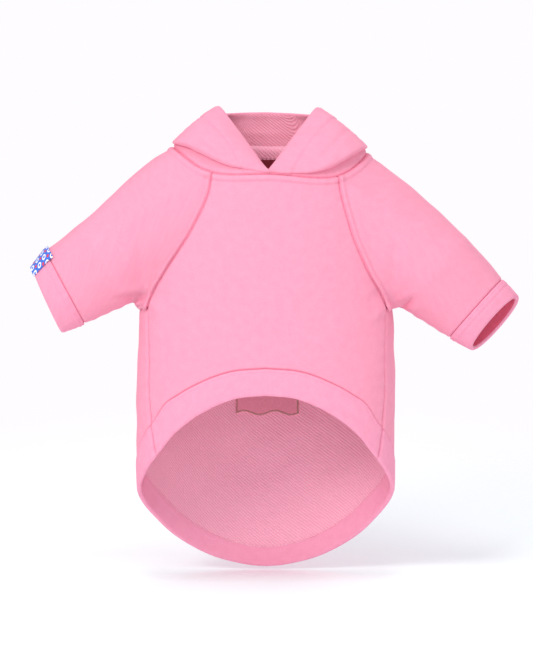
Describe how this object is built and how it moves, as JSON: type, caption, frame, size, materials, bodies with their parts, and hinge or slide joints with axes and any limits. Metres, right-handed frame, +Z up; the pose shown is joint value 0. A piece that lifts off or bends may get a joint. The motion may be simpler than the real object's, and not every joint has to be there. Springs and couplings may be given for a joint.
{
  "type": "dog hoodie",
  "caption": "Raglan hoodie for a small dog in French terry, with short cuffed sleeves, a laid-back hood and a curved banded hem, in its worn shape.",
  "frame": {"origin": "centre of the neck opening, at the height of its seam", "axes": "+X across the chest towards the sleeve that carries no label, +Y towards the garment's back, +Z up towards the hood"},
  "size_m": [0.3819, 0.1387, 0.3606],
  "materials": {
    "pink_terry": "matt brushed jersey face with looped back",
    "pink_band": "matt doubled jersey with twin-needle stitching",
    "mauve_patch": "smooth cotton with overlocked edge",
    "blue_label": "woven satin tape",
    "red_label": "woven tape"
  },
  "bodies": {
    "root": {"front_panel": "pink_terry", "back_panel": "pink_terry", "sleeve_left": "pink_terry", "sleeve_right": "pink_terry", "cuff_left": "pink_band", "cuff_right": "pink_band", "hem_front": "pink_band", "hem_back": "pink_band", "hood_left": "pink_terry", "hood_centre": "pink_terry", "hood_right": "pink_terry", "inner_patch": "mauve_patch", "cuff_label": "blue_label", "neck_label": "red_label"}
  },
  "joints": []
}
